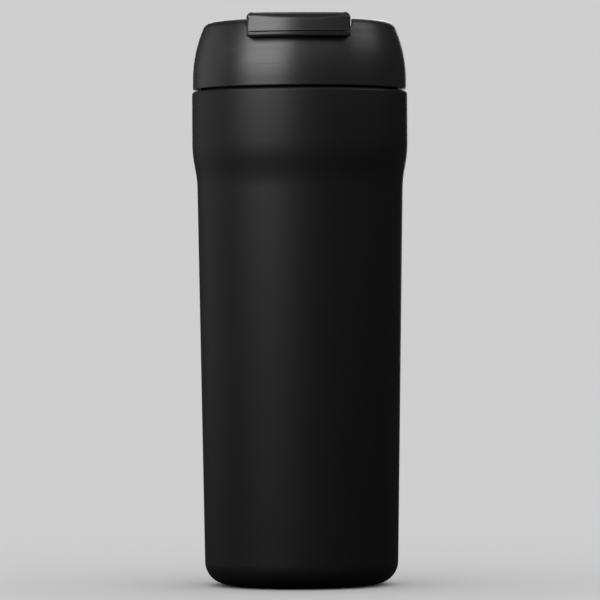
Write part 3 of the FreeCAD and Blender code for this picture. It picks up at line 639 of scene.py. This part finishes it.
def block(name, plan, low, high, rounding=None):
    """A solid over a plan, between two heights.

    With rounding(point), its front leans back and its upper edge is rounded that far.
    """
    levels = [math.pi / 2 * k / ROLL_STEPS for k in range(ROLL_STEPS + 1)] if rounding else [0.0]
    rows = [[(point, low) for point, _ in plan]]
    for level in levels:
        row = []
        for point, facing in plan:
            reach = rounding(point) if rounding else 0.0
            height = high - reach * (1 - math.sin(level))
            inward = reach * (1 - math.cos(level))
            if rounding:
                inward += (height - low) * math.tan(TAB_LEAN) * max(0.0, -facing.y)
            row.append((point - facing * inward, height))
        rows.append(row)
    bm = bmesh.new()
    rings = [[bm.verts.new((p.x * MM, p.y * MM, z * MM)) for p, z in row] for row in rows]
    count = len(plan)
    for ring, above in zip(rings, rings[1:]):
        for k in range(count):
            following = (k + 1) % count
            bm.faces.new((ring[k], ring[following], above[following], above[k]))
    bm.faces.new(reversed(rings[0]))
    bm.faces.new(rings[-1])
    mesh = bpy.data.meshes.new(name)
    bm.to_mesh(mesh)
    bm.free()
    made = bpy.data.objects.new(name, mesh)
    scene.collection.objects.link(made)
    return made


def circle_plan(radius, steps=192):
    """A circle about Z, as pairs of a point and the direction that it faces."""
    angles = [TURN * k / steps for k in range(steps)]
    facings = [Vector((math.cos(angle), math.sin(angle))) for angle in angles]
    return [(facing * radius, facing) for facing in facings]


def make_lever_top():
    """The lever's shell: its front edge rolls over more in the middle than at the tab's corners."""
    low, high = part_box("flip_cover")
    radius = -low.y / MM
    half = high.x / MM
    back = high.y / MM
    foot = low.z / MM + TAB_SHADOW_GAP
    top = high.z / MM

    def rounding(point):
        if point.y > -half:
            return SIDE_ROUNDING
        across = math.cos(math.pi / 2 * min(1.0, abs(point.x) / (half - TAB_CORNER)))
        forward = smooth(min(1.0, (-point.y - half) / (radius - half) * TAB_SPREAD))
        full = TAB_END_ROUNDING + (TAB_MIDDLE_ROUNDING - TAB_END_ROUNDING) * smooth(across)
        return SIDE_ROUNDING + (full - SIDE_ROUNDING) * forward

    shell = block("shell", lever_plan(radius, half, back, LEVER_BACK_CORNER), foot, top, rounding)
    inner = lever_plan(radius - LEVER_PLATE, half - LEVER_SKIRT, back + LEVER_BACK_CORNER, LEVER_BACK_CORNER)
    tools = [
        block("hollow", inner, foot - 1, top - LEVER_PLATE),
        block("over_lid", circle_plan(APRON_INSIDE), foot - 1, LEVER_UNDERSIDE),
    ]
    for tool in tools:
        taken = shell.modifiers.new(tool.name, "BOOLEAN")
        taken.operation = "DIFFERENCE"
        taken.solver = "EXACT"
        taken.object = tool
    bm = bmesh.new()
    bm.from_object(shell, bpy.context.evaluated_depsgraph_get())
    for used in (shell, *tools):
        bpy.data.objects.remove(used)
    bmesh.ops.remove_doubles(bm, verts=bm.verts, dist=SAME_POINT)
    soften(bm, LEVER_EDGE)
    even_normals(place_piece("lever_top", bm, "flip_cover", SHADED_SHARP))


# ---------------------------------------------------------------- floor and light

# Linear greys. The first is the room as the camera sees it, and the floor's paper lies between the next two.
ROOM_GREY = 0.62
FLOOR_LOW = 0.77
FLOOR_HIGH = 0.78
# The room's light is its grey over the paper's middle shade, so the lit floor matches the room behind it.
FLOOR_MIDDLE = 0.775
# The floor as every ray but the camera's meets it, and the room as glossy reflections meet it.
FLOOR_REFLECTED = 0.06
ROOM_REFLECTED = 0.04
# Half the floor's side and how far it lies under the foot, in metres.
FLOOR_REACH = 14.0
FLOOR_DROP = 0.00005


def make_stage():
    """A pale floor, lit evenly from all round. Reflections see it as dark, and it is open from underneath."""
    mesh = bpy.data.meshes.new("floor")
    bm = bmesh.new()
    bmesh.ops.create_grid(bm, x_segments=8, y_segments=8, size=FLOOR_REACH)
    bm.to_mesh(mesh)
    bm.free()
    floor = bpy.data.objects.new("floor", mesh)
    scene.collection.objects.link(floor)
    n = Nodes("floor_paper")
    cloud = n.noise(2.0, detail=2)
    n.set(
        Base_Color=n.colours(cloud, (FLOOR_LOW,) * 3, (FLOOR_HIGH,) * 3),
        Roughness=0.9,
        Specular_IOR_Level=0.0,
    )
    dark = n.new("ShaderNodeBsdfDiffuse")
    dark.inputs["Color"].default_value = (*(FLOOR_REFLECTED,) * 3, 1)
    path = n.new("ShaderNodeLightPath")
    mix = n.new("ShaderNodeMixShader")
    n.link(path.outputs["Is Camera Ray"], mix.inputs["Fac"])
    n.link(dark.outputs[0], mix.inputs[1])
    n.link(n.shader.outputs[0], mix.inputs[2])
    from_above = n.new("ShaderNodeMixShader")
    n.link(n.new("ShaderNodeNewGeometry").outputs["Backfacing"], from_above.inputs["Fac"])
    n.link(mix.outputs[0], from_above.inputs[1])
    n.link(n.new("ShaderNodeBsdfTransparent").outputs[0], from_above.inputs[2])
    n.link(from_above.outputs[0], n.tree.nodes["Material Output"].inputs["Surface"])
    mesh.materials.append(n.material)
    floor.location.z = -FLOOR_DROP
    return floor


def make_world():
    """Pale to the eye, even light for the floor, and a dim room to whatever reflects it."""
    world = bpy.data.worlds.new("studio")
    world.use_nodes = True
    scene.world = world
    tree = world.node_tree
    tree.nodes.clear()
    out = tree.nodes.new("ShaderNodeOutputWorld")
    path = tree.nodes.new("ShaderNodeLightPath")
    shades = []
    for grey in (ROOM_GREY, ROOM_GREY / FLOOR_MIDDLE, ROOM_REFLECTED):
        shade = tree.nodes.new("ShaderNodeBackground")
        shade.inputs["Color"].default_value = (grey, grey, grey, 1)
        shades.append(shade.outputs[0])
    seen, even, dim = shades
    reflected = tree.nodes.new("ShaderNodeMixShader")
    tree.links.new(path.outputs["Is Glossy Ray"], reflected.inputs["Fac"])
    tree.links.new(even, reflected.inputs[1])
    tree.links.new(dim, reflected.inputs[2])
    final = tree.nodes.new("ShaderNodeMixShader")
    tree.links.new(path.outputs["Is Camera Ray"], final.inputs["Fac"])
    tree.links.new(reflected.outputs[0], final.inputs[1])
    tree.links.new(seen, final.inputs[2])
    tree.links.new(final.outputs[0], out.inputs["Surface"])


LIGHT_AIM = 0.11
# Name, azimuth and elevation in degrees, distance, width and height in metres, and power in watts.
LIGHTS = (
    ("key", -38, 31, 0.58, 0.48, 0.44, 3.15),
    ("left", -112, 12, 0.7, 0.6, 0.5, 0.42),
    ("front_right", 22, 38, 0.7, 0.45, 0.25, 0.2),
    ("right_high", 84, 42, 0.7, 0.4, 0.35, 0.7),
    ("right_low", 60, 24, 0.7, 0.5, 0.35, 0.03),
    ("back", 178, 14, 1.1, 0.5, 0.7, 4.4),
    ("back_top", 180, 62, 0.9, 0.6, 0.3, 0.8),
)


def make_lights(floor):
    """Soft boxes round the mug. The floor has the room's own light, so they leave it out."""
    leave_out = bpy.data.collections.new("not_lit_by_soft_boxes")
    leave_out.objects.link(floor)
    leave_out.collection_objects[0].light_linking.link_state = "EXCLUDE"
    for name, azimuth, elevation, distance, width, height, power in LIGHTS:
        data = bpy.data.lights.new(name, "AREA")
        data.shape = "RECTANGLE"
        data.size = width
        data.size_y = height
        data.energy = power
        lamp = bpy.data.objects.new(name, data)
        scene.collection.objects.link(lamp)
        round_z = math.radians(azimuth)
        rise = math.radians(elevation)
        out = math.cos(rise)
        way = Vector((math.sin(round_z) * out, -math.cos(round_z) * out, math.sin(rise)))
        lamp.location = Vector((0, 0, LIGHT_AIM)) + way * distance
        lamp.rotation_mode = "QUATERNION"
        lamp.rotation_quaternion = (-way).to_track_quat("-Z", "Y")
        lamp.light_linking.receiver_collection = leave_out


make_camera()
make_shell()
make_liner()
make_foot_pad()
make_gasket()
for node, (name, rounding) in SOFTENED.items():
    make_softened(node, name, rounding)
dress_lid()
make_lever_top()
make_world()
make_lights(make_stage())
scene.view_settings.view_transform = "Standard"
